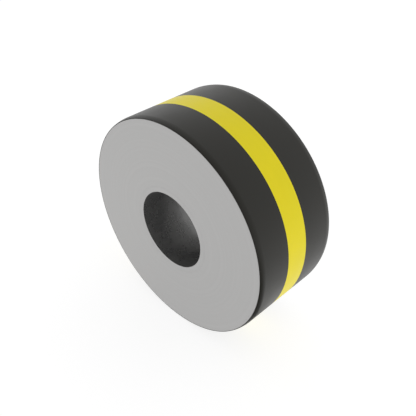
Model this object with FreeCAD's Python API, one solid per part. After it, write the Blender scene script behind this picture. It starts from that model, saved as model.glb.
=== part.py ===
"""Sealed, greased track roller with a through bore for its axle.

The axle sleeve stays still with the axle. It carries two tapered roller bearings, mounted with their
rollers' small ends towards each other, and a full side plate pressed on each end. The wheel turns
between the plates: a hub shell with two bonded tread rings and a centre band between them.

Frame: the axle runs along Y and the origin is the middle of the bore. Inboard is +Y, outboard is -Y.
Outlines are drawn for the inboard side, as (distance from the middle plane, radius), in millimetres.
"""

import FreeCAD
import Part
import math
import os

V = FreeCAD.Vector
AXLE = V(0, 1, 0)
SIDES = {"inboard": 1, "outboard": -1}

# ---- driving dimensions ----
tread_diameter = 185.0
overall_width = 80.0
axle_bore_diameter = 65.0
band_width = 20.0
sleeve_wall = 7.5
hub_wall = 10.0  # over the bearings, the rest of the radius is tread

# ---- tread ----
shoulder_length = 5.1  # along the axle, from the face to where the tread is full size
shoulder_drop = 0.95  # how far the rounded shoulder falls below the tread surface
lip_land = 0.1  # flat end of the tread's dust lip
key_depth = 2.0  # ribs of the tread in the hub, which hold it sideways
key_width = 6.0
tread_key_place = 21.0  # middle of the tread ring's key, from the middle plane

# ---- bearings, a standard 80 x 140 x 28.25 tapered roller bearing on each side ----
bearing_section = 30.0  # radial, from the cone's bore to the cup's outside
bearing_width = 28.25
cone_width = 26.0
cup_width = 22.0
ring_chamfer = 1.5
roller_count = 17
roller_mid_radius = 7.3
roller_length = 18.0
roller_pitch_height = 14.5  # middle of the roller above the cone's bore
roller_axis_angle = math.radians(14.0)
roller_place = 14.5  # middle of the roller from the cup's back face, along the axle
roller_play = 0.06  # between a roller and each raceway
rib_play = 0.2  # between a roller's large end and the cone's rib
small_rib_play = 0.3
large_rib_height = 13.5  # above the cone's bore
small_rib_height = 1.8
cage_thickness = 3.0
cage_play = 0.3  # between a roller and its pocket
cage_rim_large = 1.8
cage_rim_small = 2.0

# ---- hub, plates and their labyrinth ----
hub_rib_width = 4.0  # inner rib that both cups stand against
hub_rib_height = 9.5
running_gap = 0.5  # along the axle, between what turns and what stands still
rim_gap = 0.3  # radial, between the side plate's rim and the tread's dust lip
plate_thickness = 5.0
plate_rim_thickness = 2.5
plate_step = 2.0  # radial, from the hub's bore to the thick middle of the plate
tongue_inset = 3.5  # middle of the tongue below the hub's outside
tongue_width = 2.2
tongue_height = 2.0
labyrinth_gap = 0.4  # radial, each side of the tongue and at the plate's step
lead_chamfer = 0.5

# ---- axle sleeve ----
spigot_step = 2.5  # how far the side plate's seat lies below the bearing seat
bore_chamfer = 0.4
grease_groove_width = 8.0
grease_groove_depth = 1.4
grease_hole_diameter = 4.0
grease_hole_count = 4
spacer_thickness = 5.5
spacer_groove_depth = 1.2
spacer_groove_width = 6.0

# ---- seals ----
wear_ring_thickness = 10.0
seal_play = 0.05  # drawn between the lip's edge and its wear ring
seal_width = 6.0
seal_case_wall = 1.2
seal_case_opening = 10.0  # radial, from the wear ring to the case
seal_cone_gap = 0.55  # along the axle, between the rubber and the cone's back face
seal_spring_radius = 0.75
seal_spring_play = 0.05
seal_spring_lift = 4.25  # middle of the spring above the wear ring
dust_lip_gap = 0.5
o_ring_section = 1.8
o_ring_squeeze_gap = 0.05
o_ring_groove_width = 2.4

# ---- worked out from the above ----
tread_radius = tread_diameter / 2
half_width = overall_width / 2
bore_radius = axle_bore_diameter / 2
sleeve_radius = bore_radius + sleeve_wall
cup_seat_radius = sleeve_radius + bearing_section
hub_radius = cup_seat_radius + hub_wall
hub_rib_radius = cup_seat_radius - hub_rib_height
plate_step_radius = cup_seat_radius + plate_step
tongue_radius = hub_radius - tongue_inset
roller_pitch_radius = sleeve_radius + roller_pitch_height
large_rib_radius = sleeve_radius + large_rib_height
spigot_radius = sleeve_radius - spigot_step
lip_radius = tread_radius - shoulder_drop - lip_land
plate_radius = lip_radius - rim_gap
plate_inner_face = half_width - plate_thickness
rim_inner_face = half_width - plate_rim_thickness
hub_end = rim_inner_face - running_gap
hub_bore_end = plate_inner_face - running_gap
cup_back = hub_rib_width / 2
cone_back = cup_back + bearing_width
cone_front = cone_back - cone_width
wear_ring_radius = sleeve_radius + wear_ring_thickness
seal_case_inner_radius = wear_ring_radius + seal_case_opening
seal_lip_depth = hub_bore_end - cone_back - seal_cone_gap
seal_spring_place = hub_bore_end - 0.81 * seal_lip_depth

# the apex that the raceways and the rollers of one bearing share, on the axle
apex_to_roller = roller_pitch_radius / math.sin(roller_axis_angle)
apex = cup_back + roller_place - apex_to_roller * math.cos(roller_axis_angle)
roller_taper = math.atan(roller_mid_radius / apex_to_roller)
cup_angle = roller_axis_angle + roller_taper
cone_angle = roller_axis_angle - roller_taper


# ---- drawing ----
def along_roller(distance, offset=0.0):
    """Outline point at a distance from the apex along a roller's axis, offset away from the axle."""
    c, s = math.cos(roller_axis_angle), math.sin(roller_axis_angle)
    return apex + distance * c - offset * s, distance * s + offset * c


def raceway(angle, place):
    """Radius of a raceway with this half angle, at a place along the axle."""
    return (place - apex) * math.tan(angle)


def arc(middle, end):
    """A round stretch of an outline, through its middle point to its end point."""
    return {"middle": middle, "end": end}


def turned(outline, side=1):
    """Solid of revolution about the axle. The outline's entries are points and arcs."""
    def at(point):
        return V(point[1], side * point[0], 0)

    edges, here = [], outline[0]
    for entry in outline[1:] + outline[:1]:
        if isinstance(entry, dict):
            edges.append(Part.Arc(at(here), at(entry["middle"]), at(entry["end"])).toShape())
            here = entry["end"]
        else:
            edges.append(Part.LineSegment(at(here), at(entry)).toShape())
            here = entry
    solid = Part.Face(Part.Wire(edges)).revolve(V(0, 0, 0), AXLE, 360)
    if solid.Volume < 0:
        solid.reverse()
    return solid


def both_sides(half):
    """Closed outline made of an inboard half and its mirror image in the middle plane."""
    return half + [(-place, radius) for place, radius in reversed(half)]


def hoop(place, radius, section_radius, side=1):
    """Ring of round section around the axle."""
    return Part.makeTorus(radius, section_radius, V(0, side * place, 0), AXLE)


def grease_holes(solid):
    """The solid with its radial grease holes, in the middle plane."""
    reach = tread_radius
    holes = []
    for i in range(grease_hole_count):
        turn = 2 * math.pi * i / grease_hole_count
        out = V(math.cos(turn), 0, math.sin(turn))
        holes.append(Part.makeCylinder(grease_hole_diameter / 2, reach, V(0, 0, 0), out))
    return solid.cut(holes)


# ---- what stands still with the axle ----
def axle_sleeve():
    groove = grease_groove_width / 2
    floor = bore_radius + grease_groove_depth
    seal_near, seal_far, seal_floor = o_ring_groove()
    half = [
        (groove, floor),
        (groove, bore_radius),
        (half_width - bore_chamfer, bore_radius),
        (half_width, bore_radius + bore_chamfer),
        (half_width, spigot_radius),
        (plate_inner_face, spigot_radius),
        (plate_inner_face, sleeve_radius),
        (seal_far, sleeve_radius),
        (seal_far, seal_floor),
        (seal_near, seal_floor),
        (seal_near, sleeve_radius),
    ]
    return grease_holes(turned(both_sides(half)))


def o_ring_groove():
    """Near edge, far edge and floor radius of the groove under the wear ring."""
    middle = (cone_back + plate_inner_face) / 2
    floor = sleeve_radius - o_ring_section - 2 * o_ring_squeeze_gap
    return middle - o_ring_groove_width / 2, middle + o_ring_groove_width / 2, floor


def o_ring(side):
    near, far, floor = o_ring_groove()
    return hoop((near + far) / 2, (floor + sleeve_radius) / 2, o_ring_section / 2, side)


def cone_spacer():
    groove = spacer_groove_width / 2
    half = [
        (groove, sleeve_radius + spacer_groove_depth),
        (groove, sleeve_radius),
        (cone_front, sleeve_radius),
        (cone_front, sleeve_radius + spacer_thickness),
    ]
    return grease_holes(turned(both_sides(half)))


def bearing_cone(side):
    """Inner ring: its raceway lies between a low rib at the small end and a thrust rib at the large end."""
    def rib_foot(distance):
        slant = distance / math.cos(roller_taper)
        return apex + slant * math.cos(cone_angle), slant * math.sin(cone_angle)

    def up_the_rib(foot, height):
        return (foot[0] - height * math.sin(roller_axis_angle),
                foot[1] + height * math.cos(roller_axis_angle))

    large_foot = rib_foot(apex_to_roller + roller_length / 2 + rib_play)
    small_foot = rib_foot(apex_to_roller - roller_length / 2 - small_rib_play)
    large_height = (large_rib_radius - large_foot[1]) / math.cos(roller_axis_angle)
    small_top = up_the_rib(small_foot, small_rib_height)
    outline = [
        (cone_front, sleeve_radius + lead_chamfer),
        (cone_front, small_top[1]),
        small_top,
        small_foot,
        large_foot,
        up_the_rib(large_foot, large_height),
        (cone_back - lead_chamfer, large_rib_radius),
        (cone_back, large_rib_radius - lead_chamfer),
        (cone_back, sleeve_radius + ring_chamfer),
        (cone_back - ring_chamfer, sleeve_radius),
        (cone_front + lead_chamfer, sleeve_radius),
    ]
    return turned(outline, side)


def seal_wear_ring(side):
    outline = [
        (cone_back, sleeve_radius),
        (plate_inner_face, sleeve_radius),
        (plate_inner_face, wear_ring_radius - lead_chamfer),
        (plate_inner_face - lead_chamfer, wear_ring_radius),
        (cone_back + lead_chamfer, wear_ring_radius),
        (cone_back, wear_ring_radius - lead_chamfer),
    ]
    return turned(outline, side)


def side_plate(side):
    """Disc pressed on the sleeve's spigot. Its tongue runs in the hub's groove and keeps mud out."""
    tongue_in = tongue_radius - tongue_width / 2
    tongue_out = tongue_radius + tongue_width / 2
    tongue_tip = rim_inner_face - tongue_height
    outline = [
        (plate_inner_face, spigot_radius),
        (half_width, spigot_radius),
        (half_width, plate_radius),
        (rim_inner_face, plate_radius),
        (rim_inner_face, tongue_out),
        (tongue_tip, tongue_out),
        (tongue_tip, tongue_in),
        (rim_inner_face, tongue_in),
        (rim_inner_face, plate_step_radius),
        (plate_inner_face, plate_step_radius),
    ]
    return turned(outline, side)


# ---- what turns ----
def hub_shell():
    groove_in = tongue_radius - tongue_width / 2 - labyrinth_gap
    groove_out = tongue_radius + tongue_width / 2 + labyrinth_gap
    groove_floor = hub_end - tongue_height
    key_floor = hub_radius - key_depth
    half = [
        (cup_back, hub_rib_radius),
        (cup_back, cup_seat_radius),
        (hub_bore_end - lead_chamfer, cup_seat_radius),
        (hub_bore_end, cup_seat_radius + lead_chamfer),
        (hub_bore_end, plate_step_radius + labyrinth_gap),
        (hub_end, plate_step_radius + labyrinth_gap),
        (hub_end, groove_in),
        (groove_floor, groove_in),
        (groove_floor, groove_out),
        (hub_end, groove_out),
        (hub_end, hub_radius),
        (tread_key_place + key_width / 2, hub_radius),
        (tread_key_place + key_width / 2, key_floor),
        (tread_key_place - key_width / 2, key_floor),
        (tread_key_place - key_width / 2, hub_radius),
        (key_width / 2, hub_radius),
        (key_width / 2, key_floor),
    ]
    return turned(both_sides(half))


def tread_ring(side):
    """Moulded ring with a rounded shoulder and a thin dust lip that reaches out round the plate's rim."""
    shoulder_radius = (shoulder_length**2 + shoulder_drop**2) / (2 * shoulder_drop)
    half_length = shoulder_length / 2
    half_drop = shoulder_radius - math.sqrt(shoulder_radius**2 - half_length**2)
    shoulder_start = half_width - shoulder_length
    key_floor = hub_radius - key_depth
    outline = [
        (band_width / 2, hub_radius),
        (tread_key_place - key_width / 2, hub_radius),
        (tread_key_place - key_width / 2, key_floor),
        (tread_key_place + key_width / 2, key_floor),
        (tread_key_place + key_width / 2, hub_radius),
        (hub_end, hub_radius),
        (hub_end, lip_radius),
        (half_width, lip_radius),
        (half_width, lip_radius + lip_land),
        arc((shoulder_start + half_length, tread_radius - half_drop), (shoulder_start, tread_radius)),
        (band_width / 2, tread_radius),
    ]
    return turned(outline, side)


def centre_band():
    half = [
        (key_width / 2, hub_radius - key_depth),
        (key_width / 2, hub_radius),
        (band_width / 2, hub_radius),
        (band_width / 2, tread_radius),
    ]
    return turned(both_sides(half))


def bearing_cup(side):
    front = cup_back + cup_width
    outline = [
        (cup_back, raceway(cup_angle, cup_back)),
        (front, raceway(cup_angle, front)),
        (front, cup_seat_radius - lead_chamfer),
        (front - lead_chamfer, cup_seat_radius),
        (cup_back + ring_chamfer, cup_seat_radius),
        (cup_back, cup_seat_radius - ring_chamfer),
    ]
    return turned(outline, side)


def seal_case(side):
    """Pressed steel shell of the lip seal, tight in the hub's bore."""
    near = hub_bore_end - seal_width
    wall = hub_bore_end - seal_case_wall
    outline = [
        (near, cup_seat_radius),
        (hub_bore_end - lead_chamfer, cup_seat_radius),
        (hub_bore_end, cup_seat_radius - lead_chamfer),
        (hub_bore_end, seal_case_inner_radius),
        (wall, seal_case_inner_radius),
        (wall, cup_seat_radius - seal_case_wall),
        (near, cup_seat_radius - seal_case_wall),
    ]
    return turned(outline, side)


def seal_lip(side):
    """Rubber of the lip seal: a sealing lip with a spring seat, and a shorter dust lip outside it."""
    out, r, depth = hub_bore_end, wear_ring_radius, seal_lip_depth
    wall = out - seal_case_wall
    outline = [
        (out, seal_case_inner_radius),
        (out, r + 5.0),
        (out - 0.16 * depth, r + dust_lip_gap),
        (out - 0.32 * depth, r + dust_lip_gap),
        (out - 0.32 * depth, r + 3.0),
        (out - 0.62 * depth, r + seal_play),
        (out - 0.95 * depth, r + 1.0),
        (out - depth, r + 3.2),
        (out - 0.68 * depth, r + 4.2),
        (wall, r + 5.5),
        (wall, seal_case_inner_radius),
    ]
    seat = hoop(seal_spring_place, r + seal_spring_lift, seal_spring_radius + seal_spring_play, side)
    return turned(outline, side).cut(seat)


def garter_spring(side):
    return hoop(seal_spring_place, wear_ring_radius + seal_spring_lift, seal_spring_radius, side)


# ---- rollers and cages ----
def roller_turn(index):
    return 2 * math.pi * index / roller_count


def roller_shape(side, index, radial_play, end_play):
    """Taper roller in its place. Negative plays make the larger shape that a cage's pocket has."""
    near = apex_to_roller - roller_length / 2 + end_play
    far = apex_to_roller + roller_length / 2 - end_play
    turn = roller_turn(index)
    out = V(math.cos(turn), 0, math.sin(turn))
    place, radius = along_roller(near)
    start = out * radius + AXLE * (side * place)
    direction = out * math.sin(roller_axis_angle) + AXLE * (side * math.cos(roller_axis_angle))
    small = near * math.tan(roller_taper) - radial_play
    large = far * math.tan(roller_taper) - radial_play
    return Part.makeCone(small, large, far - near, start, direction)


def roller(side, index):
    return roller_shape(side, index, roller_play, 0.0)


def cage(side):
    """Solid cage on the rollers' pitch cone, with a pocket for each roller."""
    near = apex_to_roller - roller_length / 2 - cage_play - cage_rim_small
    far = apex_to_roller + roller_length / 2 + cage_play + cage_rim_large
    half = cage_thickness / 2
    outline = [
        along_roller(near, -half),
        along_roller(far, -half),
        along_roller(far, half),
        along_roller(near, half),
    ]
    pockets = [roller_shape(side, i, -cage_play, -cage_play) for i in range(roller_count)]
    return turned(outline, side).cut(pockets)


# ---- build ----
def main():
    nodes = {
        "axle_sleeve": axle_sleeve(),
        "cone_spacer": cone_spacer(),
        "hub_shell": hub_shell(),
        "centre_band": centre_band(),
    }
    sided = [o_ring, bearing_cone, seal_wear_ring, side_plate, tread_ring,
             bearing_cup, seal_case, seal_lip, garter_spring, cage]
    for name, side in SIDES.items():
        for make in sided:
            nodes[f"{name}_{make.__name__}"] = make(side)
        for i in range(roller_count):
            nodes[f"{name}_roller_{i + 1:02d}"] = roller(side, i)
    os.makedirs("parts", exist_ok=True)
    for node, solid in nodes.items():
        if not solid.isValid() or solid.Volume <= 0:
            raise ValueError(f"{node} is not a valid solid")
        solid.exportStep(f"parts/{node}.step")
    print(len(nodes), "nodes")


main()
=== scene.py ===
import math

import bpy
from mathutils import Matrix, Vector


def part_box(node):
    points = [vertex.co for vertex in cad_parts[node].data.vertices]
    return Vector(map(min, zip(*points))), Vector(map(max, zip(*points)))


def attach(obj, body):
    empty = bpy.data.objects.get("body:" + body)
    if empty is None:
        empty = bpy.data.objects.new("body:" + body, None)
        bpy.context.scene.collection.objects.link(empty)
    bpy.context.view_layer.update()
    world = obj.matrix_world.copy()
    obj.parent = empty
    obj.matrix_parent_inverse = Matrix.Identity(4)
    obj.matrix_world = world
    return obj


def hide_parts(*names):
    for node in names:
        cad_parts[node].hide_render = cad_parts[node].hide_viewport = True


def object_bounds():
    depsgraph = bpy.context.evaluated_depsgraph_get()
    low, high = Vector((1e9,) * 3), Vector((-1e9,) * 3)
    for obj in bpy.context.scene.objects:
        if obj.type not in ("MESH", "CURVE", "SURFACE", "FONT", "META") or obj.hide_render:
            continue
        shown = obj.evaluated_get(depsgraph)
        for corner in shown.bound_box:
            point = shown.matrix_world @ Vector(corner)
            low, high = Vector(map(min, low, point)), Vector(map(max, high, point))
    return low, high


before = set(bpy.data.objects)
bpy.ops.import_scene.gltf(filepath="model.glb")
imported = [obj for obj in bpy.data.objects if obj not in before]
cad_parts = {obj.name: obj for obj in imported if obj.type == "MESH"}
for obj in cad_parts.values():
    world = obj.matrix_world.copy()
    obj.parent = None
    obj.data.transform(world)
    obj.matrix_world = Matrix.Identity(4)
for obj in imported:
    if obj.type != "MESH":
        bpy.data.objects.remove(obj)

cad_low, cad_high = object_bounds()


# ---- Axle sleeve ----
# The hardened steel tube that stays still with the axle. It is turned and ground, its bore is left dark from
# heat treatment, and grease reaches the bearings through a groove and four drilled holes at its middle.
MM = 0.001
AROUND = 256  # flats round a turned piece


def deselect():
    bpy.ops.object.select_all(action="DESELECT")


def select_only(piece):
    deselect()
    piece.select_set(True)
    bpy.context.view_layer.objects.active = piece


def to_edit(piece):
    select_only(piece)
    bpy.ops.object.mode_set(mode="EDIT")


def to_object():
    bpy.ops.object.mode_set(mode="OBJECT")


def turned(name, outline, around=AROUND):
    """A ring about the axle. A circle is drawn out loop by loop along (place, radius) corners and closed."""
    deselect()
    place, radius = outline[0]
    bpy.ops.mesh.primitive_circle_add(vertices=around, radius=radius, fill_type="NOTHING",
                                      location=(0, place, 0), rotation=(math.pi / 2, 0, 0))
    piece = bpy.context.object
    piece.name = piece.data.name = name
    bpy.ops.object.transform_apply(location=True, rotation=True, scale=True)
    to_edit(piece)
    bpy.ops.mesh.select_mode(type="EDGE")
    bpy.ops.mesh.select_all(action="SELECT")
    for next_place, next_radius in outline[1:]:
        bpy.ops.mesh.extrude_edges_move(TRANSFORM_OT_translate={"value": (0, next_place - place, 0)})
        grow = next_radius / radius
        bpy.ops.transform.resize(value=(grow, 1, grow), center_override=(0, 0, 0))
        place, radius = next_place, next_radius
    bpy.ops.mesh.select_all(action="DESELECT")
    bpy.ops.mesh.select_non_manifold()
    bpy.ops.mesh.bridge_edge_loops()
    bpy.ops.mesh.select_all(action="SELECT")
    bpy.ops.mesh.normals_make_consistent(inside=False)
    to_object()
    return piece


def apply(piece, kind, **settings):
    """Adds one modifier with these settings and applies it."""
    select_only(piece)
    modifier = piece.modifiers.new(kind.title(), kind)
    for name, value in settings.items():
        setattr(modifier, name, value)
    bpy.ops.object.modifier_apply(modifier=modifier.name)


def break_edges(piece, width):
    """Breaks every sharp edge, as a deburring tool does."""
    apply(piece, "BEVEL", width=width, segments=2, limit_method="ANGLE", angle_limit=math.radians(25))


def smooth(piece, angle=20):
    """Shades the piece smooth, except at edges that turn by more than this many degrees."""
    select_only(piece)
    bpy.ops.object.shade_smooth_by_angle(angle=math.radians(angle))


def both_ways(half):
    """Closed outline from its inboard half."""
    return half + [(-place, radius) for place, radius in reversed(half)]


def finish_piece(piece, material, body, cad_node):
    """Gives a piece its material, and puts it on its body in place of the CAD node."""
    piece.data.materials.clear()
    piece.data.materials.append(material)
    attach(piece, body)
    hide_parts(cad_node)


def group(name, inputs, outputs):
    """An empty node group with these sockets. Inputs are (name, type, default)."""
    tree = bpy.data.node_groups.new(name, "ShaderNodeTree")
    for label, kind, default in inputs:
        socket = tree.interface.new_socket(name=label, in_out="INPUT", socket_type=kind)
        socket.default_value = default
    for label, kind in outputs:
        tree.interface.new_socket(name=label, in_out="OUTPUT", socket_type=kind)
    return tree, tree.nodes.new("NodeGroupInput"), tree.nodes.new("NodeGroupOutput")


def node(tree, kind, **settings):
    made = tree.nodes.new("ShaderNode" + kind)
    for name, value in settings.items():
        setattr(made, name, value)
    return made


def maths(tree, operation, *values):
    """A Math node. Each value is a number or the socket that feeds it."""
    made = node(tree, "Math", operation=operation)
    for slot, value in zip(made.inputs, values):
        if isinstance(value, (int, float)):
            slot.default_value = value
        else:
            tree.links.new(value, slot)
    return made.outputs[0]


def ranged(tree, value, low, high, to_low=0.0, to_high=1.0):
    """A value's run from low to high, spread over another range and held at its ends."""
    made = node(tree, "MapRange", clamp=True)
    tree.links.new(value, made.inputs["Value"])
    for name, number in (("From Min", low), ("From Max", high), ("To Min", to_low), ("To Max", to_high)):
        if isinstance(number, (int, float)):
            made.inputs[name].default_value = number
        else:
            tree.links.new(number, made.inputs[name])
    return made.outputs["Result"]


def noise(tree, vector, scale, detail=3.0, rough=0.55):
    made = node(tree, "TexNoise")
    made.inputs["Detail"].default_value = detail
    made.inputs["Roughness"].default_value = rough
    tree.links.new(vector, made.inputs["Vector"])
    if isinstance(scale, (int, float)):
        made.inputs["Scale"].default_value = scale
    else:
        tree.links.new(scale, made.inputs["Scale"])
    return made.outputs["Fac"]


def axle_coordinates(tree):
    """Sockets for a point's place along the axle, its distance from the axle, and its Object coordinates."""
    coords = node(tree, "TexCoord").outputs["Object"]
    split = node(tree, "SeparateXYZ")
    tree.links.new(coords, split.inputs[0])
    x, y, z = split.outputs
    squares = maths(tree, "ADD", maths(tree, "MULTIPLY", x, x), maths(tree, "MULTIPLY", z, z))
    return y, maths(tree, "SQRT", squares), coords


def build_lathe_marks():
    """Fine rings left by a tool that goes round the axle, deeper in some places than in others."""
    tree, given, result = group("lathe marks", [("Rings per metre", "NodeSocketFloat", 2500.0),
                                                ("Unevenness", "NodeSocketFloat", 0.5)],
                                [("Height", "NodeSocketFloat"), ("Streak", "NodeSocketFloat")])
    along, out, coords = axle_coordinates(tree)
    join = node(tree, "CombineXYZ")
    tree.links.new(out, join.inputs[0])
    tree.links.new(along, join.inputs[1])
    rings = given.outputs["Rings per metre"]
    broad_to_fine = 0.11
    fine = noise(tree, join.outputs[0], rings, detail=2.0, rough=0.7)
    broad = noise(tree, join.outputs[0], maths(tree, "MULTIPLY", rings, broad_to_fine))
    patches = noise(tree, coords, scale=38.0)
    depth = maths(tree, "SUBTRACT", 1.0, maths(tree, "MULTIPLY", given.outputs["Unevenness"], patches))
    fine_share = 0.7
    blend = maths(tree, "MULTIPLY_ADD", fine, fine_share, maths(tree, "MULTIPLY", broad, 1 - fine_share))
    centred = maths(tree, "SUBTRACT", blend, 0.5)
    tree.links.new(maths(tree, "MULTIPLY", centred, depth), result.inputs["Height"])
    tree.links.new(maths(tree, "MULTIPLY_ADD", maths(tree, "SUBTRACT", broad, 0.5), depth, 0.5),
                   result.inputs["Streak"])
    return tree


def build_handling():
    """Cloudy change in gloss from handling and oil, with a few fine hairline scratches."""
    tree, given, result = group("handling", [("Cloud size", "NodeSocketFloat", 30.0),
                                             ("Scratches", "NodeSocketFloat", 0.5)],
                                [("Cloud", "NodeSocketFloat"), ("Scratch", "NodeSocketFloat"),
                                 ("Height", "NodeSocketFloat")])
    coords = node(tree, "TexCoord").outputs["Object"]
    cloud = noise(tree, coords, given.outputs["Cloud size"], detail=5.0, rough=0.6)
    stretch = 22.0
    hairline = 0.006
    lines = []
    for turn, strands_a_metre in ((0.5, 260.0), (1.9, 340.0), (2.7, 210.0)):
        lay = node(tree, "Mapping", vector_type="TEXTURE")
        lay.inputs["Rotation"].default_value = (turn, turn * 1.7, turn * 0.6)
        lay.inputs["Scale"].default_value = (1.0, stretch, stretch)
        tree.links.new(coords, lay.inputs["Vector"])
        strand = noise(tree, lay.outputs[0], strands_a_metre, detail=1.0, rough=0.5)
        off_middle = maths(tree, "ABSOLUTE", maths(tree, "SUBTRACT", strand, 0.5))
        hair = ranged(tree, off_middle, 0.0, hairline, 1.0, 0.0)
        here = ranged(tree, noise(tree, coords, 55.0 + 9.0 * turn, detail=2.0), 0.60, 0.72)
        lines.append(maths(tree, "MULTIPLY", hair, here))
    deepest = maths(tree, "MAXIMUM", maths(tree, "MAXIMUM", lines[0], lines[1]), lines[2])
    scratch = maths(tree, "MULTIPLY", deepest, given.outputs["Scratches"])
    tree.links.new(cloud, result.inputs["Cloud"])
    tree.links.new(scratch, result.inputs["Scratch"])
    tree.links.new(maths(tree, "MULTIPLY", scratch, -1.0), result.inputs["Height"])
    return tree


LATHE_MARKS = build_lathe_marks()
HANDLING = build_handling()


def placed(tree, made_group, **values):
    """Puts a node group in a material. An underscore in a value's name stands for a space."""
    made = node(tree, "Group", node_tree=made_group)
    for name, value in values.items():
        made.inputs[name.replace("_", " ")].default_value = value
    return made


def mixed(tree, amount, first, second):
    """A colour mix. The amount is a socket, and each colour is a socket or a colour."""
    made = node(tree, "Mix", data_type="RGBA")
    tree.links.new(amount, made.inputs["Factor"])
    for name, value in ((6, first), (7, second)):
        if isinstance(value, tuple):
            made.inputs[name].default_value = (*value, 1.0)
        else:
            tree.links.new(value, made.inputs[name])
    return made.outputs[2]


def bumped(tree, height, distance):
    made = node(tree, "Bump")
    made.inputs["Distance"].default_value = distance
    tree.links.new(height, made.inputs["Height"])
    return made.outputs[0]


def new_material(name, metallic):
    made = bpy.data.materials.new(name)
    made.use_nodes = True
    shader = made.node_tree.nodes["Principled BSDF"]
    shader.inputs["Metallic"].default_value = metallic
    return made, made.node_tree, shader


half_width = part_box("axle_sleeve")[1].y
bore_radius = 32.5 * MM
bore_break = 0.4 * MM
sleeve_radius = 40.0 * MM
spigot_radius = 37.5 * MM
spigot_start = 35.0 * MM
grease_groove = 4.0 * MM  # half its width
grease_groove_floor = 33.9 * MM
seal_groove = (31.425 * MM, 33.825 * MM)
seal_groove_floor = 38.1 * MM
grease_hole_radius = 2.0 * MM
oxide_depth = 1.5 * MM  # measured from the bore, so that it takes in the grease groove
# depth of the near-black band of painted shade at each mouth of the bore
mouth_shade_depth = 0.6 * MM
ground_dark, ground_light = (0.418, 0.415, 0.411), (0.448, 0.445, 0.441)

sleeve = turned("axle_sleeve_turned", both_ways([
    (grease_groove, grease_groove_floor),
    (grease_groove, bore_radius),
    (half_width - bore_break, bore_radius),
    (half_width, bore_radius + bore_break),
    (half_width, spigot_radius),
    (spigot_start, spigot_radius),
    (spigot_start, sleeve_radius),
    (seal_groove[1], sleeve_radius),
    (seal_groove[1], seal_groove_floor),
    (seal_groove[0], seal_groove_floor),
    (seal_groove[0], sleeve_radius),
]))


def drill_grease_holes(piece):
    """Drills the four radial grease holes, as two that cross and go right through."""
    reach = 5 * sleeve_radius
    drills = []
    for tilt in (0, math.pi / 2):
        deselect()
        bpy.ops.mesh.primitive_cylinder_add(vertices=32, radius=grease_hole_radius, depth=reach,
                                            rotation=(0, tilt, 0))
        drills.append(bpy.context.object)
    apply(drills[0], "BOOLEAN", operation="UNION", solver="EXACT", object=drills[1])
    apply(piece, "BOOLEAN", operation="DIFFERENCE", solver="EXACT", object=drills[0])
    for drill in drills:
        bpy.data.objects.remove(drill)


break_edges(sleeve, 0.06 * MM)
drill_grease_holes(sleeve)
smooth(sleeve)


def sleeve_steel():
    """Ground and light on its ends and seats, dark and oily in the bore, with a near-black band of painted
    shade at each of the bore's mouths.
    """
    made, tree, shader = new_material("sleeve steel", 1.0)
    along, out, _ = axle_coordinates(tree)
    from_middle = maths(tree, "ABSOLUTE", along)
    marks = placed(tree, LATHE_MARKS, Rings_per_metre=1400.0, Unevenness=0.6)
    touch = placed(tree, HANDLING, Cloud_size=60.0, Scratches=0.5)
    in_bore = ranged(tree, out, bore_radius + oxide_depth + 0.1 * MM, bore_radius + oxide_depth)
    end_face = ranged(tree, from_middle, half_width - 0.05 * MM, half_width - 0.02 * MM)
    # Mask of the painted shade: the bore's chamfer and a thin rim just inside it, at each mouth.
    painted_mouth_shade = ranged(tree, from_middle, half_width - mouth_shade_depth, half_width - bore_break)
    dark = maths(tree, "MULTIPLY", in_bore, maths(tree, "SUBTRACT", 1.0, end_face))
    ground = mixed(tree, ranged(tree, marks.outputs["Streak"], 0.3, 0.7), ground_dark, ground_light)
    clouds = ranged(tree, touch.outputs["Cloud"], 0.35, 0.65)
    oxide = mixed(tree, clouds, (0.225, 0.224, 0.222), (0.285, 0.283, 0.28))
    # Painted shade: the oxide turns near black on that mask, which draws a dark line round each mouth of the
    # bore.
    oxide = mixed(tree, painted_mouth_shade, oxide, (0.06, 0.059, 0.058))
    tree.links.new(mixed(tree, dark, ground, oxide), shader.inputs["Base Color"])
    ground_rougher = 0.11
    oxide_less_metallic = 0.25
    gloss = ranged(tree, touch.outputs["Cloud"], 0.3, 0.7, 0.25, 0.31)
    tree.links.new(maths(tree, "MULTIPLY_ADD", end_face, ground_rougher, gloss), shader.inputs["Roughness"])
    tree.links.new(maths(tree, "MULTIPLY_ADD", dark, -oxide_less_metallic, 1.0), shader.inputs["Metallic"])
    tree.links.new(bumped(tree, marks.outputs["Height"], 0.002 * MM), shader.inputs["Normal"])
    return made


finish_piece(sleeve, sleeve_steel(), "axle", "axle_sleeve")


# ---- Cone spacer ----
# A ground steel ring that keeps the two bearing cones apart and sets their play. A groove inside it gathers
# the grease from the sleeve, and four holes let it out between the rollers.
cone_front = 4.25 * MM
spacer_radius = 45.5 * MM
spacer_groove = 3.0 * MM  # half its width
spacer_groove_floor = 41.2 * MM


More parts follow.
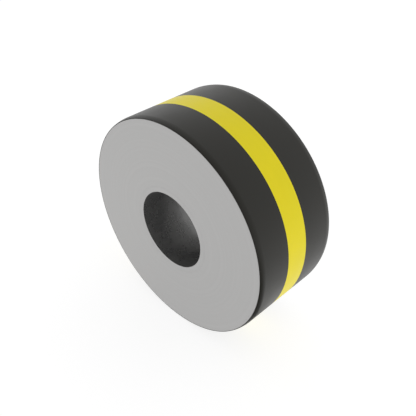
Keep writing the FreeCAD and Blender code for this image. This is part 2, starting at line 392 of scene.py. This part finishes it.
def steel(name, dark, light, rough, spread, rings, unevenness, depth, scratches):
    """Bare machined steel: its colour, gloss and relief follow the lathe marks and the handling."""
    made, tree, shader = new_material(name, 1.0)
    marks = placed(tree, LATHE_MARKS, Rings_per_metre=rings, Unevenness=unevenness)
    touch = placed(tree, HANDLING, Cloud_size=24.0, Scratches=scratches)
    streak_share = 0.6
    scratch_shine, scratch_relief = 0.06, 0.4
    clouds = maths(tree, "MULTIPLY", touch.outputs["Cloud"], 1 - streak_share)
    tone = maths(tree, "MULTIPLY_ADD", marks.outputs["Streak"], streak_share, clouds)
    tree.links.new(mixed(tree, ranged(tree, tone, 0.35, 0.65), dark, light), shader.inputs["Base Color"])
    gloss = ranged(tree, touch.outputs["Cloud"], 0.3, 0.7, rough - spread, rough + spread)
    shine = maths(tree, "MULTIPLY", touch.outputs["Scratch"], scratch_shine)
    tree.links.new(maths(tree, "SUBTRACT", gloss, shine), shader.inputs["Roughness"])
    height = maths(tree, "MULTIPLY_ADD", touch.outputs["Height"], scratch_relief, marks.outputs["Height"])
    tree.links.new(bumped(tree, height, depth), shader.inputs["Normal"])
    return made


ring_steel = steel("hardened ring steel", (0.47, 0.468, 0.465), (0.52, 0.518, 0.515), rough=0.24, spread=0.04,
                   rings=2600.0, unevenness=0.4, depth=0.0015 * MM, scratches=0.3)
spacer = turned("cone_spacer_ground", both_ways([
    (spacer_groove, spacer_groove_floor),
    (spacer_groove, sleeve_radius),
    (cone_front, sleeve_radius),
    (cone_front, spacer_radius),
]))
break_edges(spacer, 0.2 * MM)
drill_grease_holes(spacer)
smooth(spacer)
finish_piece(spacer, ring_steel, "axle", "cone_spacer")


# ---- Bearing cones ----
# Inner rings of through-hardened bearing steel, tight on the sleeve. Each raceway is ground and honed between
# a low rib and the tall thrust rib that the rollers' large ends rub on.
SIDES = {"inboard": 1, "outboard": -1}
cup_back = 2.0 * MM
cone_back = 30.25 * MM
ring_chamfer = 1.5 * MM
lead_chamfer = 0.5 * MM
roller_axis_angle = math.radians(14.0)
roller_mid_radius = 7.3 * MM
roller_length = 18.0 * MM
roller_pitch_radius = 54.5 * MM
roller_from_cup_back = 14.5 * MM
thrust_rib_radius = 53.5 * MM
rib_play, small_rib_play = 0.2 * MM, 0.3 * MM
small_rib_height = 1.8 * MM
apex_to_roller = roller_pitch_radius / math.sin(roller_axis_angle)
roller_place = cup_back + roller_from_cup_back
apex = roller_place - apex_to_roller * math.cos(roller_axis_angle)
roller_taper = math.atan(roller_mid_radius / apex_to_roller)
cone_angle = roller_axis_angle - roller_taper


def mirrored(outline, side):
    return [(side * place, radius) for place, radius in outline]


def on_cone_raceway(along_roller):
    """Corner on the cone's raceway, at this distance from the apex along the roller's axis."""
    slant = along_roller / math.cos(roller_taper)
    return apex + slant * math.cos(cone_angle), slant * math.sin(cone_angle)


large_foot = on_cone_raceway(apex_to_roller + roller_length / 2 + rib_play)
small_foot = on_cone_raceway(apex_to_roller - roller_length / 2 - small_rib_play)
small_top = (small_foot[0] - small_rib_height * math.sin(roller_axis_angle),
             small_foot[1] + small_rib_height * math.cos(roller_axis_angle))
thrust_rib_height = thrust_rib_radius - large_foot[1]
thrust_top = (large_foot[0] - thrust_rib_height * math.tan(roller_axis_angle), thrust_rib_radius)
bearing_steel = steel("bearing steel", (0.60, 0.598, 0.595), (0.65, 0.648, 0.645), rough=0.13, spread=0.03,
                      rings=5200.0, unevenness=0.3, depth=0.0006 * MM, scratches=0.2)
for name, side in SIDES.items():
    cone = turned(f"{name}_cone_honed", mirrored([
        (cone_front, sleeve_radius + lead_chamfer),
        (cone_front, small_top[1]),
        small_top,
        small_foot,
        large_foot,
        thrust_top,
        (cone_back - lead_chamfer, thrust_rib_radius),
        (cone_back, thrust_rib_radius - lead_chamfer),
        (cone_back, sleeve_radius + ring_chamfer),
        (cone_back - ring_chamfer, sleeve_radius),
        (cone_front + lead_chamfer, sleeve_radius),
    ], side))
    break_edges(cone, 0.15 * MM)
    smooth(cone)
    finish_piece(cone, bearing_steel, "axle", f"{name}_bearing_cone")


# ---- Rollers ----
# Seventeen tapered rollers a side, ground to one size, with rounded ends and a shallow recess in the large
# end. They roll between cone and cup, and their cage carries them round.
roller_count = 17
roller_play = 0.06 * MM
roller_end_round = 0.5 * MM
roller_recess_rim = 2.6 * MM
roller_recess_depth = 0.25 * MM
roller_around = 64


def ground_roller():
    """One roller about Z at the origin, its large end up."""
    deselect()
    near = apex_to_roller - roller_length / 2
    far = apex_to_roller + roller_length / 2
    small_end = near * math.tan(roller_taper) - roller_play
    large_end = far * math.tan(roller_taper) - roller_play
    bpy.ops.mesh.primitive_cone_add(vertices=roller_around, radius1=small_end, radius2=large_end,
                                    depth=roller_length)
    piece = bpy.context.object
    to_edit(piece)
    bpy.ops.mesh.select_mode(type="FACE")
    bpy.ops.mesh.select_all(action="DESELECT")
    to_object()
    for face in piece.data.polygons:
        face.select = face.normal.z > 0.9
    to_edit(piece)
    bpy.ops.mesh.inset(thickness=roller_recess_rim, depth=0)
    bpy.ops.mesh.inset(thickness=2 * roller_recess_depth, depth=-roller_recess_depth)
    to_object()
    apply(piece, "BEVEL", width=roller_end_round, segments=4, limit_method="ANGLE",
          angle_limit=math.radians(60))
    return piece


pattern = ground_roller()
for name, side in SIDES.items():
    for i in range(roller_count):
        turn = 2 * math.pi * i / roller_count
        out = Vector((math.cos(turn), 0, math.sin(turn)))
        axis = out * math.sin(roller_axis_angle) + Vector((0, side * math.cos(roller_axis_angle), 0))
        middle = out * roller_pitch_radius + Vector((0, side * roller_place, 0))
        cad_node = f"{name}_roller_{i + 1:02d}"
        roller = pattern.copy()
        roller.data = pattern.data.copy()
        roller.name = roller.data.name = f"{cad_node}_ground"
        bpy.context.scene.collection.objects.link(roller)
        roller.data.transform(axis.to_track_quat("Z", "Y").to_matrix().to_4x4())
        roller.data.transform(Matrix.Translation(middle))
        smooth(roller)
        finish_piece(roller, bearing_steel, cad_node, cad_node)
bpy.data.objects.remove(pattern)


# ---- Cages ----
# Moulded in glass-filled polyamide, one a side, with a pocket for each roller. The natural tan plastic is
# cloudy, and short glass fibres show as fine pale lines in it.
def glass_filled_polyamide():
    made, tree, shader = new_material("glass-filled polyamide", 0.0)
    coords = node(tree, "TexCoord").outputs["Object"]
    touch = placed(tree, HANDLING, Cloud_size=70.0, Scratches=0.9)
    grain = noise(tree, coords, 1800.0, detail=2.0, rough=0.6)
    tan = mixed(tree, ranged(tree, touch.outputs["Cloud"], 0.3, 0.7), (0.46, 0.34, 0.17), (0.60, 0.46, 0.25))
    fibre = maths(tree, "MULTIPLY", touch.outputs["Scratch"], 0.5)
    tree.links.new(mixed(tree, fibre, tan, (0.72, 0.62, 0.44)), shader.inputs["Base Color"])
    tree.links.new(ranged(tree, grain, 0.3, 0.7, 0.42, 0.55), shader.inputs["Roughness"])
    tree.links.new(bumped(tree, grain, 0.01 * MM), shader.inputs["Normal"])
    return made


cage_polyamide = glass_filled_polyamide()
for name in SIDES:
    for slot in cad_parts[f"{name}_cage"].material_slots:
        slot.material = cage_polyamide


# ---- Bearing cups ----
# Outer rings of the same bearing steel, pressed in the hub against its middle rib. The raceway inside is
# honed bright, and the outside is only ground.
cup_width = 22.0 * MM
cup_front = cup_back + cup_width
cup_seat_radius = 70.0 * MM
cup_angle = roller_axis_angle + roller_taper
cup_slope = math.tan(cup_angle)
for name, side in SIDES.items():
    cup = turned(f"{name}_cup_honed", mirrored([
        (cup_back, (cup_back - apex) * cup_slope),
        (cup_front, (cup_front - apex) * cup_slope),
        (cup_front, cup_seat_radius - lead_chamfer),
        (cup_front - lead_chamfer, cup_seat_radius),
        (cup_back + ring_chamfer, cup_seat_radius),
        (cup_back, cup_seat_radius - ring_chamfer),
    ], side))
    break_edges(cup, 0.15 * MM)
    smooth(cup)
    finish_piece(cup, bearing_steel, "wheel", f"{name}_bearing_cup")


# ---- Hub shell ----
# One turned steel forging that holds both cups against its middle rib. Keyways outside grip the cast tread,
# and a groove in each end takes the side plate's tongue.
hub_rib_radius = 60.5 * MM
hub_bore_end = 34.5 * MM
hub_end = 37.0 * MM
hub_radius = 80.0 * MM
key_floor = 78.0 * MM
key = (18.0 * MM, 24.0 * MM)
band_key = 3.0 * MM
plate_step_radius = 72.0 * MM
tongue_radius = 76.5 * MM
tongue_half_width = 1.1 * MM
tongue_height = 2.0 * MM
labyrinth_gap = 0.4 * MM
groove_in = tongue_radius - tongue_half_width - labyrinth_gap
groove_out = tongue_radius + tongue_half_width + labyrinth_gap
hub_steel = steel("turned hub steel", (0.31, 0.308, 0.305), (0.38, 0.377, 0.372), rough=0.36, spread=0.05,
                  rings=1500.0, unevenness=0.5, depth=0.006 * MM, scratches=0.4)
hub = turned("hub_shell_turned", both_ways([
    (cup_back, hub_rib_radius),
    (cup_back, cup_seat_radius),
    (hub_bore_end - lead_chamfer, cup_seat_radius),
    (hub_bore_end, cup_seat_radius + lead_chamfer),
    (hub_bore_end, plate_step_radius + labyrinth_gap),
    (hub_end, plate_step_radius + labyrinth_gap),
    (hub_end, groove_in),
    (hub_end - tongue_height, groove_in),
    (hub_end - tongue_height, groove_out),
    (hub_end, groove_out),
    (hub_end, hub_radius),
    (key[1], hub_radius),
    (key[1], key_floor),
    (key[0], key_floor),
    (key[0], hub_radius),
    (band_key, hub_radius),
    (band_key, key_floor),
]))
break_edges(hub, 0.1 * MM)
smooth(hub)
finish_piece(hub, hub_steel, "wheel", "hub_shell")


# ---- Tread rings ----
# Hard black polyurethane, cast round the hub and keyed into it, with a rounded shoulder and a thin dust lip
# that reaches out round the plate's rim. The surface is smooth from the mould, with a faint satin bloom.
band_half_width = 10.0 * MM
tread_radius = cad_high.x
shoulder_length = 5.1 * MM
shoulder_drop = 0.95 * MM
lip_land = 0.1 * MM
shoulder_arc = (shoulder_length**2 + shoulder_drop**2) / (2 * shoulder_drop)
shoulder_tangent = shoulder_arc * math.tan(math.asin(shoulder_length / shoulder_arc) / 2)
shoulder_corner = half_width - shoulder_length + shoulder_tangent
shoulder_rounding = 0.98 * shoulder_tangent
shoulder_end_radius = tread_radius - shoulder_drop
lip_radius = shoulder_end_radius - lip_land
tread_around = 360


def round_loop(piece, place, radius, width, segments):
    """Rounds the one edge loop that lies at this place and radius."""
    to_edit(piece)
    bpy.ops.mesh.select_mode(type="EDGE")
    bpy.ops.mesh.select_all(action="DESELECT")
    to_object()
    near = 0.01 * MM
    points = piece.data.vertices
    for edge in piece.data.edges:
        ends = [points[i].co for i in edge.vertices]
        edge.select = all(abs(p.y - place) < near and abs(math.hypot(p.x, p.z) - radius) < near for p in ends)
    to_edit(piece)
    bpy.ops.mesh.bevel(offset=width, segments=segments, profile=0.5, affect="EDGES")
    to_object()


def cast_polyurethane(name, dark, light, rough, bloom, refraction):
    """Smooth moulded plastic whose gloss wanders with its bloom, with a faint ripple under the skin."""
    made, tree, shader = new_material(name, 0.0)
    touch = placed(tree, HANDLING, Cloud_size=34.0, Scratches=0.25)
    coords = node(tree, "TexCoord").outputs["Object"]
    skin = noise(tree, coords, 2600.0, rough=0.6)
    ripple = noise(tree, coords, 90.0, rough=0.5)
    clouds = ranged(tree, touch.outputs["Cloud"], 0.3, 0.7)
    tree.links.new(mixed(tree, clouds, dark, light), shader.inputs["Base Color"])
    gloss = ranged(tree, touch.outputs["Cloud"], 0.3, 0.7, rough - bloom, rough + bloom)
    tree.links.new(gloss, shader.inputs["Roughness"])
    scratch_relief, ripple_relief = 0.6, 3.0
    scratched = maths(tree, "MULTIPLY_ADD", touch.outputs["Height"], scratch_relief, skin)
    height = maths(tree, "MULTIPLY_ADD", ripple, ripple_relief, scratched)
    tree.links.new(bumped(tree, height, 0.004 * MM), shader.inputs["Normal"])
    shader.inputs["IOR"].default_value = refraction
    return made


tread_black = cast_polyurethane("black polyurethane", (0.0070, 0.0062, 0.0022), (0.0090, 0.0080, 0.0034),
                                rough=0.39, bloom=0.03, refraction=1.42)
for name, side in SIDES.items():
    tread = turned(f"{name}_tread_cast", mirrored([
        (band_half_width, hub_radius),
        (key[0], hub_radius),
        (key[0], key_floor),
        (key[1], key_floor),
        (key[1], hub_radius),
        (hub_end, hub_radius),
        (hub_end, lip_radius),
        (half_width, lip_radius),
        (half_width, shoulder_end_radius),
        (shoulder_corner, tread_radius),
        (band_half_width, tread_radius),
    ], side), tread_around)
    round_loop(tread, side * shoulder_corner, tread_radius, shoulder_rounding, 12)
    smooth(tread)
    finish_piece(tread, tread_black, "wheel", f"{name}_tread_ring")


# ---- Centre band ----
# A yellow ring of the same polyurethane, cast between the two black rings and turned flush with them. A low
# rib inside it fills the hub's middle keyway.
band = turned("centre_band_cast", both_ways([
    (band_key, key_floor),
    (band_key, hub_radius),
    (band_half_width, hub_radius),
    (band_half_width, tread_radius),
]), tread_around)
smooth(band)
band_yellow = cast_polyurethane("yellow polyurethane", (0.90, 0.765, 0.0004), (0.94, 0.795, 0.0008),
                                rough=0.42, bloom=0.03, refraction=1.34)
finish_piece(band, band_yellow, "wheel", "centre_band")


# ---- O-rings ----
# Nitrile rings in the sleeve's grooves, which stop grease from creeping out under the wear rings. Each has
# the thin flash line that its two-part mould leaves.
o_ring_place = (seal_groove[0] + seal_groove[1]) / 2
o_ring_middle = (seal_groove_floor + sleeve_radius) / 2
o_ring_section_radius = 0.9 * MM
o_ring_corners = 48
flash_height = 0.06 * MM


def o_ring_section(side):
    """Round section with a thin ridge at each side, where the mould's halves meet."""
    corners = []
    for i in range(o_ring_corners):
        turn = 2 * math.pi * i / o_ring_corners
        reach = o_ring_section_radius + (flash_height if i % (o_ring_corners // 2) == 0 else 0)
        corners.append((side * (o_ring_place + reach * math.cos(turn)),
                        o_ring_middle + reach * math.sin(turn)))
    return corners


def nitrile():
    made, tree, shader = new_material("nitrile rubber", 0.0)
    coords = node(tree, "TexCoord").outputs["Object"]
    touch = placed(tree, HANDLING, Cloud_size=90.0, Scratches=0.2)
    bloom = ranged(tree, touch.outputs["Cloud"], 0.35, 0.7)
    black = mixed(tree, bloom, (0.012, 0.012, 0.012), (0.024, 0.023, 0.022))
    tree.links.new(black, shader.inputs["Base Color"])
    tree.links.new(ranged(tree, touch.outputs["Cloud"], 0.3, 0.7, 0.45, 0.6), shader.inputs["Roughness"])
    tree.links.new(bumped(tree, noise(tree, coords, 2200.0), 0.008 * MM), shader.inputs["Normal"])
    return made


seal_rubber = nitrile()
for name, side in SIDES.items():
    o_ring = turned(f"{name}_o_ring_moulded", o_ring_section(side))
    smooth(o_ring, 40)
    finish_piece(o_ring, seal_rubber, "axle", f"{name}_o_ring")


# ---- Wear rings ----
# Hardened steel rings on the sleeve, plunge ground with no lead, for the seals' lips to run on. They also
# pass the side plates' clamping on to the cones.
wear_ring_radius = 50.0 * MM
for name, side in SIDES.items():
    wear_ring = turned(f"{name}_wear_ring_ground", mirrored([
        (cone_back, sleeve_radius),
        (spigot_start, sleeve_radius),
        (spigot_start, wear_ring_radius - lead_chamfer),
        (spigot_start - lead_chamfer, wear_ring_radius),
        (cone_back + lead_chamfer, wear_ring_radius),
        (cone_back, wear_ring_radius - lead_chamfer),
    ], side))
    break_edges(wear_ring, 0.12 * MM)
    smooth(wear_ring)
    finish_piece(wear_ring, ring_steel, "axle", f"{name}_seal_wear_ring")


# ---- Seal cases ----
# Angled rings that carry the rubber lips. They are pressed from sheet steel and pushed tight into the hub's
# bore, and the bend keeps the radius of the press tool.
case_depth = 6.0 * MM
case_near = hub_bore_end - case_depth
case_wall = 1.2 * MM
outer_bend, inner_bend = 0.8 * MM, 0.3 * MM
case_opening = 60.0 * MM
case_steel = steel("pressed case steel", (0.37, 0.372, 0.378), (0.44, 0.442, 0.447), rough=0.30, spread=0.06,
                   rings=900.0, unevenness=0.7, depth=0.003 * MM, scratches=0.6)
for name, side in SIDES.items():
    case = turned(f"{name}_seal_case_pressed", mirrored([
        (case_near, cup_seat_radius),
        (hub_bore_end, cup_seat_radius),
        (hub_bore_end, case_opening),
        (hub_bore_end - case_wall, case_opening),
        (hub_bore_end - case_wall, cup_seat_radius - case_wall),
        (case_near, cup_seat_radius - case_wall),
    ], side))
    round_loop(case, side * hub_bore_end, cup_seat_radius, outer_bend, 5)
    round_loop(case, side * (hub_bore_end - case_wall), cup_seat_radius - case_wall, inner_bend, 3)
    smooth(case)
    finish_piece(case, case_steel, "wheel", f"{name}_seal_case")


# ---- Seal lips ----
# Nitrile moulded on the case: a sealing lip that leans inwards under its garter spring, the spring's round
# seat behind it, and a shorter dust lip outside.
seal_play = 0.05 * MM
dust_lip_gap = 0.5 * MM
lip_from_cone = 0.55 * MM
lip_depth = hub_bore_end - cone_back - lip_from_cone
spring_depth_share = 0.81
spring_place = hub_bore_end - spring_depth_share * lip_depth
spring_above_ring = 4.25 * MM
spring_middle = wear_ring_radius + spring_above_ring
spring_seat_radius = 0.8 * MM
seat_start, seat_end = math.radians(-114), math.radians(17)
seat_corners = 12


def lip_corner(depth_share, above_ring):
    """Corner at this share of the lip's depth and this height above the wear ring."""
    return hub_bore_end - depth_share * lip_depth, wear_ring_radius + above_ring


def spring_seat():
    """Corners of the round seat, from the lip's back round under the spring."""
    corners = []
    for i in range(seat_corners):
        turn = seat_start + (seat_end - seat_start) * i / (seat_corners - 1)
        corners.append((spring_place + spring_seat_radius * math.cos(turn),
                        spring_middle + spring_seat_radius * math.sin(turn)))
    return corners


for name, side in SIDES.items():
    lip = turned(f"{name}_seal_lip_moulded", mirrored([
        (hub_bore_end, case_opening),
        lip_corner(0, 5.0 * MM),
        lip_corner(0.16, dust_lip_gap),
        lip_corner(0.32, dust_lip_gap),
        lip_corner(0.32, 3.0 * MM),
        lip_corner(0.62, seal_play),
        lip_corner(0.95, 1.0 * MM),
        lip_corner(1, 3.2 * MM),
        *spring_seat(),
        (hub_bore_end - case_wall, wear_ring_radius + 5.5 * MM),
        (hub_bore_end - case_wall, case_opening),
    ], side))
    smooth(lip, 40)
    finish_piece(lip, seal_rubber, "wheel", f"{name}_seal_lip")


# ---- Garter springs ----
# Close-wound springs of drawn wire, bent into a ring and joined end to end. They press the lips on the wear
# rings.
coil_turns = 776
wire_radius = 0.2 * MM
coil_radius = 0.55 * MM
wire_corners = 6
steps_a_turn = 10


def wound_ring(name, place):
    """The wire's section is screwed along X, and the coil is bent round until its ends meet."""
    deselect()
    length = 2 * math.pi * spring_middle
    bpy.ops.mesh.primitive_circle_add(vertices=wire_corners, radius=wire_radius, fill_type="NOTHING",
                                      location=(0, 0, coil_radius), rotation=(math.pi / 2, 0, 0))
    piece = bpy.context.object
    piece.name = piece.data.name = name
    bpy.ops.object.transform_apply(location=True, rotation=True, scale=True)
    apply(piece, "SCREW", axis="X", steps=steps_a_turn, render_steps=steps_a_turn, iterations=coil_turns,
          screw_offset=length / coil_turns, use_merge_vertices=False)
    along = [point.co.x for point in piece.data.vertices]
    span = max(along) - min(along)
    piece.location = (-length / 2, 0, 0)
    bpy.ops.object.transform_apply(location=True, rotation=True, scale=True)
    apply(piece, "SIMPLE_DEFORM", deform_method="BEND", deform_axis="Z", angle=2 * math.pi * span / length)
    piece.data.transform(Matrix.Translation((0, -spring_middle, 0)))
    piece.location = (0, place, 0)
    piece.rotation_euler = (math.pi / 2, 0, 0)
    bpy.ops.object.transform_apply(location=True, rotation=True, scale=True)
    to_edit(piece)
    bpy.ops.mesh.select_all(action="SELECT")
    bpy.ops.mesh.remove_doubles(threshold=wire_radius / 100)
    bpy.ops.mesh.normals_make_consistent(inside=False)
    to_object()
    return piece


spring_steel = steel("drawn spring wire", (0.42, 0.418, 0.41), (0.50, 0.498, 0.49), rough=0.26, spread=0.05,
                     rings=4000.0, unevenness=0.4, depth=0.001 * MM, scratches=0.2)
for name, side in SIDES.items():
    spring = wound_ring(f"{name}_garter_spring_wound", side * spring_place)
    smooth(spring, 70)
    finish_piece(spring, spring_steel, "wheel", f"{name}_garter_spring")


# ---- Side plates ----
# Full discs of steel plate pressed on the sleeve's spigots and ground flush with its ends. The tongue on the
# inner face runs in the hub's groove as a labyrinth.
plate_rim_start = 37.5 * MM
tongue_tip = plate_rim_start - tongue_height
plate_steel = steel("ground plate steel", ground_dark, ground_light, rough=0.38, spread=0.03,
                    rings=3200.0, unevenness=0.5, depth=0.0025 * MM, scratches=0.35)
for name, side in SIDES.items():
    plate_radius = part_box(f"{name}_side_plate")[1].x
    plate = turned(f"{name}_plate_ground", mirrored([
        (spigot_start, spigot_radius),
        (half_width, spigot_radius),
        (half_width, plate_radius),
        (plate_rim_start, plate_radius),
        (plate_rim_start, tongue_radius + tongue_half_width),
        (tongue_tip, tongue_radius + tongue_half_width),
        (tongue_tip, tongue_radius - tongue_half_width),
        (plate_rim_start, tongue_radius - tongue_half_width),
        (plate_rim_start, plate_step_radius),
        (spigot_start, plate_step_radius),
    ], side))
    break_edges(plate, 0.06 * MM)
    smooth(plate)
    finish_piece(plate, plate_steel, "axle", f"{name}_side_plate")


# ---- Floor, light and camera ----
# A white table top in a white tent that is darker on the camera's side. A dark card lies on the table beside
# the roller and shows only in reflections, where it darkens the near shoulder.
def matt_glow(name, grey, strength):
    """A matt grey that also gives an even white light."""
    made, _, shader = new_material(name, 0.0)
    shader.inputs["Base Color"].default_value = (grey, grey, grey, 1)
    shader.inputs["Roughness"].default_value = 0.9
    shader.inputs["Specular IOR Level"].default_value = 0.0
    shader.inputs["Emission Color"].default_value = (1, 1, 1, 1)
    shader.inputs["Emission Strength"].default_value = strength
    return made


table_size = 6.0
deselect()
bpy.ops.mesh.primitive_plane_add(size=table_size, location=(0, 0, cad_low.z))
table = bpy.context.object
table.name = "table_top"
table.data.materials.append(matt_glow("table white", 0.3, 0.83))

card_length, card_depth = 8.0 * tread_radius, 1.6 * tread_radius
card_middle = (4.9 * tread_radius, -0.07 * tread_radius, cad_low.z + MM)
card_turn = math.radians(10)
deselect()
bpy.ops.mesh.primitive_plane_add(size=1, location=card_middle, rotation=(0, 0, card_turn))
card = bpy.context.object
card.name = "dark_card"
card.scale = (card_length, card_depth, 1)
card.data.materials.append(matt_glow("card grey", 0.0, 0.15))
card.visible_camera = card.visible_diffuse = card.visible_shadow = False

front_glow, back_glow, shown_glow = 0.5, 1.02, 1.0
front_ends, back_starts = -0.15, 0.6  # how far the direction points along +Y
world = bpy.data.worlds.new("white tent")
bpy.context.scene.world = world
world.use_nodes = True
tent = world.node_tree
tent_light = tent.nodes["Background"]
tent_light.inputs["Color"].default_value = (1, 1, 1, 1)
direction = node(tent, "SeparateXYZ")
tent.links.new(node(tent, "TexCoord").outputs["Generated"], direction.inputs[0])
glow = ranged(tent, direction.outputs["Y"], front_ends, back_starts, front_glow, back_glow)
seen = node(tent, "LightPath").outputs["Is Camera Ray"]
tent.links.new(ranged(tent, seen, 0.0, 1.0, glow, shown_glow), tent_light.inputs["Strength"])

azimuth, elevation = math.radians(44.9), math.radians(36.87)
stand_back, shift_right, shift_up = 5.117 * tread_radius, 0.0089 * tread_radius, 0.0036 * tread_radius
level = math.cos(elevation)
back = Vector((math.sin(azimuth) * level, -math.cos(azimuth) * level, math.sin(elevation)))
right = Vector((math.cos(azimuth), math.sin(azimuth), 0))
up = back.cross(right)
camera = bpy.data.objects.new("camera", bpy.data.cameras.new("camera"))
bpy.context.scene.collection.objects.link(camera)
camera.data.lens = 50
camera.data.sensor_width = 36
camera.location = stand_back * back + shift_right * right + shift_up * up
camera.rotation_mode = "QUATERNION"
camera.rotation_quaternion = (-back).to_track_quat("-Z", "Y")
bpy.context.scene.camera = camera
bpy.context.scene.view_settings.view_transform = "Standard"
